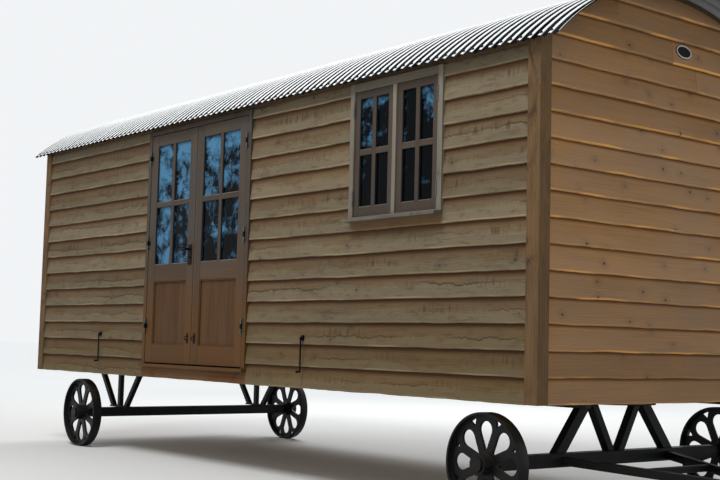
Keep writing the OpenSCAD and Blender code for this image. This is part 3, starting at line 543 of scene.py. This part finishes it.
inner = (inside[0].x + 0.0001, inside[1].x)
rows = lining(inner[0], door_gap[0], WALL_TOP)
rows += lining(door_gap[1], window_gap[0], WALL_TOP)
rows += lining(window_gap[1], inner[1], WALL_TOP)
rows += lining(*window_gap, sill_foot)
gather("lining_door_side", rows, pine, "hut")
piece = gather("lining_back", lining(*inner, WALL_TOP), pine, "hut")
carry(piece, math.pi, (-MID, 0, 0))
for name, turn in (("lining_tow_bar_end", math.pi / 2), ("lining_far_end", -math.pi / 2)):
    rows = lining(INNER_FACE, -INNER_FACE, 3.0)
    for row in rows:
        for vertex in row.data.vertices:
            reach = math.sqrt(max(0.0, CEILING_R ** 2 - (vertex.co.z - ARCH_Z) ** 2))
            vertex.co.x = max(-reach, min(reach, vertex.co.x))
    piece = gather(name, rows, pine, "hut")
    carry(piece, turn, (0, -END_SHIFT, 0))

# Roof: eleven sheets of galvanised corrugated iron, rolled to the arch and lapped at their sides,
# with dull domed screws through the crests, close to the eaves. The valleys and one flank of each
# wave carry dark dirt and painted shade, and the underside is painted dark as shade, darkest on the
# door side.

PITCH = 0.0762
WAVE = 0.009
WAVE_STEPS = 12
SHEET_THICK = 0.0011
LAP_SUNK = 0.0012
roof_end, far = (corner.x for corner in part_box("roof_sheets"))
waves_in_all = round((far - roof_end) / PITCH)
eave = math.asin(EAVE_REACH / ARCH_R)


def roof_finish():
    """Zinc with a fine spangle on the crests, dirt and painted shade in the valleys and up one flank,
    and painted shade underneath.
    """
    material, shader, place = finish("galvanised_iron", "corrugated_iron", specular_ior_level=0.0)
    x, y, z = place.axes()
    lift = z - ARCH_Z
    around = (x - roof_end) * (2 * math.pi / PITCH) - 2.35
    # Painted shade, with some dirt: a dark band in each valley and up the flank of each wave that faces
    # +x.
    valley_dirt_and_shade = place.add("Math", {"operation": "COSINE"}, {0: around}).between(0.16, 0.48)
    verge = place.sum("MINIMUM", x - roof_end, far - x)
    # Downward-facing surfaces, which get painted shade.
    under = place.add("NewGeometry", None, None, "Normal").axes()[2].between(0.0, -0.1)
    along = place.add("Math", {"operation": "ARCTAN2"}, {0: y, 1: lift})
    streak = place.point(x * 30, along * 3, 0).noise(1.0, 4, 0.6)
    cloud = place.noise(1.6, 4, 0.6)
    spangle = place.add("TexVoronoi", None, {"Vector": place, "Scale": 90.0}, "Color").axes()[0]
    dirt_and_painted_shade = valley_dirt_and_shade * (0.98 + 0.02 * streak.between(0.35, 0.65))
    dirt_and_painted_shade = dirt_and_painted_shade * verge.between(0.004, 0.012) * (1 - under)
    # Painted shade on the underside, a little lighter away from the door side.
    dirt_and_painted_shade = dirt_and_painted_shade + under * (0.98 - y.between(-0.9, 0.5) * 0.2)
    zinc = (spangle * 0.5 + cloud * 0.5).blend(tone("dfe2e3"), tone("f7f8f8"))
    lay(shader, "Base Color", dirt_and_painted_shade.blend(zinc, tone("080b0d")))
    lay(shader, "Metallic", 0.2 - dirt_and_painted_shade * 0.2)
    lay(shader, "Roughness", 0.38 + cloud * 0.14 + spangle * 0.08 + dirt_and_painted_shade * 0.2)
    relief(shader, spangle * 0.3 + streak, 0.0003)
    return material


def sheet(name, first, waves, sunk=0.0):
    """One sheet: its wave is drawn along the eave, then spun over to the other eave.

    first is the wave that it starts at, and sunk how far it lies under its neighbours.
    """
    deselect()
    bpy.ops.mesh.primitive_plane_add(size=0.01)
    piece = bpy.context.object
    piece.name = piece.data.name = name
    bpy.ops.object.mode_set(mode="EDIT")
    bpy.ops.mesh.select_mode(type="VERT")
    bpy.ops.mesh.select_all(action="SELECT")
    bpy.ops.mesh.merge(type="CENTER")
    radius = []
    for i in range(int(waves * WAVE_STEPS) + 1):
        turn = 2 * math.pi * (first + i / WAVE_STEPS)
        radius.append(ARCH_R - sunk - WAVE + WAVE * math.cos(turn))
    out = (-math.sin(eave), math.cos(eave))
    start = (roof_end + first * PITCH, out[0] * radius[0], ARCH_Z + out[1] * radius[0])
    bpy.ops.transform.translate(value=start)
    for before, after in zip(radius, radius[1:]):
        rise = after - before
        bpy.ops.mesh.extrude_vertices_move(TRANSFORM_OT_translate={
            "value": (PITCH / WAVE_STEPS, out[0] * rise, out[1] * rise)})
    bpy.ops.mesh.select_all(action="SELECT")
    bpy.ops.mesh.spin(steps=36, angle=2 * eave, center=(0, 0, ARCH_Z), axis=(1, 0, 0))
    bpy.ops.mesh.select_all(action="SELECT")
    bpy.ops.mesh.remove_doubles(threshold=0.00001)
    bpy.ops.mesh.normals_make_consistent(inside=False)
    bpy.ops.object.mode_set(mode="OBJECT")
    if max(piece.data.polygons, key=lambda face: face.center.z).normal.z < 0:
        piece.data.flip_normals()
    thick = piece.modifiers.new("thick", "SOLIDIFY")
    thick.thickness, thick.offset = SHEET_THICK, -1
    bpy.ops.object.modifier_apply(modifier="thick")
    for vertex in piece.data.vertices:
        vertex.co.x = max(roof_end, vertex.co.x)
    bpy.ops.object.shade_smooth_by_angle(angle=0.7)
    return piece


galvanised = roof_finish()
sheets, waves_apart = 11, 8
over = sheet("over", 0.5, waves_apart + 0.5)
under = sheet("under", 0, waves_apart, LAP_SUNK)
verge = sheet("verge", 0, waves_apart + 0.5)
for k in range(sheets):
    source, wave = over, -1
    if k % 2:
        source, wave = under, 0
    elif k in (0, sheets - 1):
        source, wave = verge, 0
    if k == sheets - 1:
        mirror = Matrix.Translation((roof_end + far, 0, 0)) @ Matrix.Scale(-1, 4, (1, 0, 0))
        piece = copy_of(source, mirror)
        piece.data.flip_normals()
    else:
        piece = copy_of(source, Matrix.Translation(((waves_apart * k + wave) * PITCH, 0, 0)))
    piece = gather("roof_sheet_%02d" % (k + 1), [piece], galvanised, "hut")
    if k == 0:
        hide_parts("roof_sheets")
for piece in (over, under, verge):
    bpy.data.objects.remove(piece)

washer, washer_thick, dome = 0.011, 0.003, 0.004
in_from_eave = 0.016
deselect()
bpy.ops.mesh.primitive_cylinder_add(vertices=10, radius=washer, depth=washer_thick,
                                    location=(roof_end, 0, ARCH_Z + ARCH_R + LAP_SUNK))
screw = bpy.context.object
pick(screw, lambda points: all(co.z > 0 for co in points), "FACE")
bpy.ops.mesh.inset(thickness=0.005)
bpy.ops.mesh.extrude_region_move(TRANSFORM_OT_translate={"value": (0, 0, dome)})
bpy.ops.object.mode_set(mode="OBJECT")
bpy.ops.object.transform_apply()
screws = []
for angle in (eave - in_from_eave, in_from_eave - eave):
    row = copy_of(screw, Matrix.Translation((PITCH, 0, ARCH_Z)) @ Matrix.Rotation(angle, 4, "X")
                  @ Matrix.Translation((0, 0, -ARCH_Z)))
    line = row.modifiers.new("line", "ARRAY")
    line.count, line.use_relative_offset, line.use_constant_offset = waves_in_all - 1, False, True
    line.constant_offset_displace = (PITCH, 0, 0)
    bpy.context.view_layer.objects.active = row
    bpy.ops.object.modifier_apply(modifier="line")
    screws.append(row)
bpy.data.objects.remove(screw)
# The screw heads are nearly black.
dull, shader, place = finish("dark_screw_finish", "corrugated_iron", specular_ior_level=0.05)
lay(shader, "Base Color", place.noise(60).blend(tone("17191b"), tone("2c2f31")))
lay(shader, "Roughness", 0.5 + place.noise(200) * 0.2)
gather("roof_screws", screws, dull, "hut")
# The roof boards are painted near-black as the shade under the eaves.
dress("roof_deck", timber("roof_boards_painted_dark", "softwood", "4a3c2b", "2f261b", along=0, grey="3b352d"))

# Doorway and doors: oak framed up with mortice and tenon, oiled once and gone to a dull brown.
# Each leaf has four panes over a panel of V-edged boards, and beads hold the glass and panel.

oiled, bare = ("4c4137", "302720"), ("797267", "514a40")
oak_values = dict(knotty=0.95, rings=560, gloss=0.5, grey="43403d", aged=0.6, foot="573710")
oak = timber("oiled_oak", "oak_joinery", *oiled, **oak_values)
panel_oak = timber("oiled_oak_panels", "oak_joinery", "583d25", "302012", knotty=0.95, rings=300,
                   aged=0.2, grey="50402d")
frame_oak = timber("weathered_oak", "oak_joinery", *bare, knotty=0.95, rings=500, grey="757068")
bead_oak = timber("pale_bead_oak", "oak_joinery", "85786a", "64584a", knotty=0.95, rings=500)
black_rubber, shader, place = finish("black_rubber", "glass", roughness=0.6)
lay(shader, "Base Color", place.noise(90, 2).blend(tone("0b0b0c"), tone("17181a")))
for node, along in (("door_jambs", 2), ("door_head", 0), ("door_sill", 0), ("window_sill", 0)):
    colours = bare if node == "window_sill" else oiled
    planed = timber("oiled_oak_" + node, "oak_joinery", *colours, along=along, **oak_values)
    dress(node, planed, edge=0.002)


def member(start, end, along, ease=0.002):
    """One planed member with its arrises eased, its grain along one axis."""
    piece = block("member", start, end)
    soft = piece.modifiers.new("ease", "BEVEL")
    soft.width, soft.segments = ease, 2
    bpy.ops.object.modifier_apply(modifier="ease")
    return grain(piece, along)


def beads(place, x0, x1, z0, z1, front, back, width):
    """Four beads round an opening, chamfered towards it."""
    made = []
    for a, b, along in (((x0, z0), (x0 + width, z1), 2), ((x1 - width, z0), (x1, z1), 2),
                        ((x0 + width, z0), (x1 - width, z0 + width), 0),
                        ((x0 + width, z1 - width), (x1 - width, z1), 0)):
        made.append(member(place(a[0], front, a[1]), place(b[0], back, b[1]), along, width * 0.4))
    return made


PANE = (0.016, 0.036)
PANEL = (0.016, 0.034)
SLACK = 0.0002


def pane(place, x0, x1, z0, z1, gasket, seal, foot):
    """The gasket and the seal round one pane, and the pale bead along its foot.

    PANE is how deep the two faces of the glass lie. foot is how deep the bead starts, and its height.
    """
    front, height = foot
    made = beads(place, x0, x1, z0, z1, 0.002, PANE[0] - SLACK, gasket)
    made += beads(place, x0 + 0.001, x1 - 0.001, z0 + 0.001, z1 - 0.001,
                  PANE[0] + 0.0025, PANE[1] - 0.0025, seal)
    bead = member(place(x0, front, z0 - 0.001), place(x1, PANE[0] - 0.0005, z0 + height), 0, height / 2)
    return made, bead


def leaf(name, side):
    """The joinery of one leaf, from its hinge edge to its meeting edge."""
    low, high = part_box(name.replace("door", "leaf_frame"))
    panel = [corner.z - low.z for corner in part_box(name.replace("door", "leaf_panel"))]
    lights = [corner.z - low.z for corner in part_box(name.replace("door", "leaf_glass"))]
    hinge_x = low.x if side > 0 else high.x

    def place(x, y, z):
        return hinge_x + side * x, low.y + y, low.z + z

    wide, thick, tall = high - low
    stile, bar, meeting = 0.098, 0.036, 0.0245
    rail_back, bar_back, cross_back, slim = 0.0006, 0.0012, 0.0016, thick - 0.001
    level = sum(lights) / 2
    parts = [member(place(0, 0, 0), place(stile, thick, tall), 2)]
    if side > 0:
        parts.append(member(place(wide - stile, 0, 0), place(wide, slim, tall), 2))
    else:
        parts.append(member(place(wide - stile, 0, 0), place(wide - meeting - 0.0005, slim, tall), 2))
        parts.append(member(place(wide - meeting, 0, 0), place(wide, slim, tall), 2, 0.004))
    for z0, z1 in ((0, panel[0]), (panel[1], lights[0]), (lights[1], tall)):
        parts.append(member(place(stile, rail_back, z0), place(wide - stile, thick, z1), 0, 0.0025))
    left_bar, right_bar = wide / 2 - bar / 2, wide / 2 + bar / 2
    parts.append(member(place(left_bar, bar_back, lights[0]), place(right_bar, thick, lights[1]), 2))
    spacers, sills = [], []
    for x0, x1 in ((stile, left_bar), (right_bar, wide - stile)):
        below, above = level - bar / 2, level + bar / 2
        parts.append(member(place(x0, cross_back, below), place(x1, thick, above), 0))
        for z0, z1 in ((lights[0], below), (above, lights[1])):
            made, bead = pane(place, x0, x1, z0, z1, 0.0022, 0.012, (0.0022, 0.006))
            spacers += made
            sills.append(bead)
            parts += beads(place, x0, x1, z0, z1, PANE[1] + SLACK, 0.048, 0.009)
    parts += beads(place, stile, wide - stile, *panel, 0.004, PANE[0] - SLACK, 0.008)
    gather(name + "_joinery", parts, oak, name, name.replace("door", "leaf_frame"))
    gather(name + "_gaskets", spacers, black_rubber, name)
    gather(name + "_pane_sills", sills, bead_oak, name)
    in_panel = 4
    step = (wide - 2 * stile) / in_panel
    boards = []
    for i in range(in_panel):
        start = stile + i * step
        boards.append(member(place(start + SLACK, PANEL[0], panel[0]),
                             place(start + step - SLACK, PANEL[1], panel[1]), 2, 0.003))
    gather(name + "_panel_boards", boards, panel_oak, name, name.replace("door", "leaf_panel"))


leaf("left_door", 1)
leaf("right_door", -1)

# Window: an oak frame with a mullion, set in a gap of the boards. Its two casements have four
# panes each, framed up like the doors, and hang on steel hinges at their outer sides.

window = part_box("window_frame")
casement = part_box("window_casements")
x0, x1, z0, z1 = window[0].x, window[1].x, window[0].z, window[1].z
jamb, head, ledge, mullion_wide = 0.042, 0.054, 0.01, 0.034
mullion = ((x0 + x1 - mullion_wide) / 2, (x0 + x1 + mullion_wide) / 2)
parts = []
for a, b, along in (((x0, z0), (x0 + jamb, z1), 2), ((x1 - jamb, z0), (x1, z1), 2),
                    ((mullion[0], z0 + ledge), (mullion[1], z1 - head), 2),
                    ((x0 + jamb, z0), (x1 - jamb, z0 + ledge), 0),
                    ((x0 + jamb, z1 - head), (x1 - jamb, z1), 0)):
    parts.append(member((a[0], window[0].y, a[1]), (b[0], window[1].y, b[1]), along))
gather("window_frame_joinery", parts, frame_oak, "hut", "window_frame")

parts, spacers, sills, hinges = [], [], [], []
thick, tall = casement[1].y - casement[0].y, casement[1].z - casement[0].z
wide, stile, foot, bar, gap = mullion[0] - x0 - jamb, 0.05, 0.062, 0.034, 0.002
left_bar, right_bar = wide / 2 - bar / 2, wide / 2 + bar / 2
level = (foot + tall - stile) / 2
below, above = level - bar / 2, level + bar / 2
knuckles, hinge_radius, hinge_out, hinge_in = 0.1, 0.0055, 0.0105, 0.12
for start, hung in ((x0 + jamb, 0.0), (mullion[1], wide)):
    def at(x, y, z, start=start):
        return start + x, casement[0].y + y, casement[0].z + z

    parts += [member(at(gap, 0, gap), at(stile, thick, tall - gap), 2),
              member(at(wide - stile, 0, gap), at(wide - gap, thick, tall - gap), 2),
              member(at(stile, 0.0005, gap), at(wide - stile, thick, foot), 0),
              member(at(stile, 0.0005, tall - stile), at(wide - stile, thick, tall - gap), 0),
              member(at(left_bar, 0.001, foot), at(right_bar, thick, tall - stile), 2)]
    for a, b in ((stile, left_bar), (right_bar, wide - stile)):
        parts.append(member(at(a, 0.0014, below), at(b, thick, above), 0))
        for c, d in ((foot, below), (above, tall - stile)):
            made, bead = pane(at, a, b, c, d, 0.002, 0.009, (0.0024, 0.005))
            spacers += made
            sills.append(bead)
    for z in (hinge_in, tall - hinge_in):
        bpy.ops.mesh.primitive_cylinder_add(vertices=20, radius=hinge_radius, depth=knuckles,
                                            location=at(hung, -hinge_out, z))
        knuckle = bpy.context.object
        pick(knuckle, lambda ends: abs(ends[0].z - ends[1].z) > knuckles / 2, "EDGE")
        bpy.ops.mesh.subdivide(number_cuts=2)
        pick(knuckle, lambda ends: abs(ends[0].z - ends[1].z) < 0.001 and abs(ends[0].z) < 0.03, "EDGE")
        bpy.ops.mesh.bevel(offset=0.0012, segments=1, profile=0.0)
        bpy.ops.object.mode_set(mode="OBJECT")
        bpy.ops.object.transform_apply()
        hinges.append(knuckle)
gather("window_casement_joinery", parts, oak, "hut", "window_casements")
gather("window_gaskets", spacers, black_rubber, "hut")
gather("window_pane_sills", sills, bead_oak, "hut")
hinge_steel, shader, place = finish("hinge_steel", "black_ironwork", metallic=0.85)
lay(shader, "Base Color", place.noise(40, 3).blend(tone("2e3032"), tone("707272")))
lay(shader, "Roughness", 0.3 + place.noise(150) * 0.2)
gather("window_hinges", hinges, hinge_steel, "hut")

# Glass: sealed units held by the beads, nearly opaque and painted dark as the shade of the inside
# seen from outside by day. They have a painted mottled blue sky reflection and a film of dust.


def glass_finish():
    """Glass painted dark as shade, with a painted sky reflection that is bluer towards the far end and
    the top.
    """
    material, shader, place = finish("glass", "glass", ior=1.5, specular_ior_level=0.035)
    x, _, z = place.axes()
    # Painted reflection: mottled patches of sky blue in the glass's colour.
    sky = place.noise(5.5, 9, 0.7, 0.3) + (z - 2.1) * 0.1 - x * 0.055
    dust = place.noise(3.5, 5, 0.65)
    # The near-black base is painted shade of the dark inside; the blue is the painted reflection.
    lay(shader, "Base Color", sky.between(0.46, 0.64).blend(tone("04070a"), tone("4a7a9c")))
    lay(shader, "Roughness", 0.02 + dust.between(0.45, 0.9) * 0.06)
    lay(shader, "Alpha", 0.93 + dust * 0.05)
    return material


glass = glass_finish()
for node in ("left_leaf_glass", "right_leaf_glass", "window_glass"):
    dress(node, glass)

# Ironwork: forged and blacked hooks and staples and a lever with its back plate, screwed to the
# wall and the leaves. The door hinges are grey steel where the black has rubbed off.

black_iron = steel_paint("blacked_iron", "black_ironwork", "090a0c", dust=0.03, gloss=0.5, coat=0.0)
for node in ("cabin_hooks", "left_leaf_ironwork", "right_leaf_ironwork"):
    dress(node, black_iron, edge=0.0008)
dress("door_hinges", hinge_steel, edge=0.0008)

# End plate: a bare oval casting, blacked, with a rim that is rubbed bright. It is screwed to a
# board of the tow-bar end, and leans with it.

board_slope = math.atan(BOARD_THICK / COURSE)
oval = (0.088, 0.152)
rim_wide, rim_high, rim_lift = 0.01, 0.002, 0.0015
dress("end_plaque", black_iron, edge=0.0012)
plate_low, plate_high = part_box("end_plaque")
deselect()
bpy.ops.mesh.primitive_circle_add(vertices=64, radius=0.5, fill_type="NGON")
rim = bpy.context.object
rim.scale = (*oval, 1)
bpy.ops.object.transform_apply()
bpy.ops.object.mode_set(mode="EDIT")
bpy.ops.mesh.select_all(action="SELECT")
bpy.ops.mesh.inset(thickness=rim_wide)
bpy.ops.mesh.delete(type="FACE")
bpy.ops.mesh.select_all(action="SELECT")
bpy.ops.mesh.extrude_region_move(TRANSFORM_OT_translate={"value": (0, 0, rim_high)})
bpy.ops.mesh.select_all(action="SELECT")
bpy.ops.mesh.normals_make_consistent(inside=False)
bpy.ops.object.mode_set(mode="OBJECT")
rim.data.transform(Matrix.Translation((plate_low + plate_high) / 2)
                   @ Matrix.Rotation(math.pi / 2 - board_slope, 4, "Y")
                   @ Matrix.Translation((0, 0, rim_lift)))
worn, shader, place = finish("worn_rim", "black_ironwork", metallic=0.3, roughness=0.5)
lay(shader, "Base Color", place.noise(70, 3).blend(tone("8d877e"), tone("bcb6ab")))
gather("end_plate_rim", [rim], worn, "hut")

# Running gear: box-section axle beams with turned ends, welded struts, the turntable and the tow
# bar, all in the chassis black, on cast-iron wheels.

for node in ("rear_axle_beam", "rear_axle_struts", "turntable_upper", "front_axle_beam",
             "front_axle_truss", "turntable_lower", "tow_bar"):
    dress(node, chassis_black, edge=0.003)
cast_black = steel_paint("cast_black", "cast_iron_wheels", "0d0f12", dust=0.1, gloss=0.36)
for node in ("front_wheel_door_side", "front_wheel_back_side",
             "rear_wheel_door_side", "rear_wheel_back_side"):
    dress(node, cast_black, edge=0.003)

# Camera, lamps and floor: a plain pale studio, seen from the place that the photograph was
# taken from, with a large soft lamp high on the left, one behind, and the rest from all round.

stand = (MID + 7.6961, -6.136, 0.961)
bpy.ops.object.camera_add(location=stand)
camera = bpy.context.object
yaw, pitch, roll = math.radians(50.972), math.radians(4.853), math.radians(1.425)
camera.matrix_world = (Matrix.Translation(stand) @ Matrix.Rotation(yaw, 4, "Z")
                       @ Matrix.Rotation(math.pi / 2 + pitch, 4, "X") @ Matrix.Rotation(roll, 4, "Z"))
camera.data.lens, camera.data.sensor_width = 61.09, 36
camera.data.clip_end = 400
bpy.context.scene.camera = camera

for name, place, size, power in (("key", (1.0, -6.2, 9.5), 3.6, 640),
                                 ("rim", (-6.0, 6.0, 7.0), 5.0, 380)):
    bpy.ops.object.light_add(type="AREA", location=place)
    lamp = bpy.context.object
    lamp.name, lamp.data.size, lamp.data.energy = name, size, power
    lamp.rotation_euler = (-Vector(place)).to_track_quat("-Z", "Y").to_euler()

world = bpy.data.worlds.new("studio")
bpy.context.scene.world = world
world.use_nodes = True
sky = world.node_tree.nodes["Background"]
start = Wire(world.node_tree)
seen = start.add("LightPath", None, None, "Is Camera Ray")
for kind in ("Is Glossy Ray", "Is Transmission Ray"):
    seen = start.sum("MAXIMUM", seen, start.add("LightPath", None, None, kind))
sky.inputs["Color"].default_value = (0.93, 0.95, 0.97, 1)
lay(sky, "Strength", seen * 0.45 + 0.5)

deselect()
bpy.ops.mesh.primitive_plane_add(size=300, location=(0, 0, 0))
floor = bpy.context.object
floor.name = "studio_floor"
pale, shader, place = finish("studio_floor", "", roughness=0.8, emission_strength=1.0,
                             specular_ior_level=0.1)
away = place.add("VectorMath", {"operation": "LENGTH"}, {0: place}, 1).between(2, 17)
lay(shader, "Base Color", place.noise(0.6, 2).blend((0.78, 0.78, 0.77, 1), (0.8, 0.8, 0.79, 1)))
lay(shader, "Emission Color", away.blend((0.0, 0.0, 0.0, 1), (0.45, 0.47, 0.48, 1)))
floor.data.materials.append(pale)

bpy.context.scene.view_settings.view_transform = "Standard"
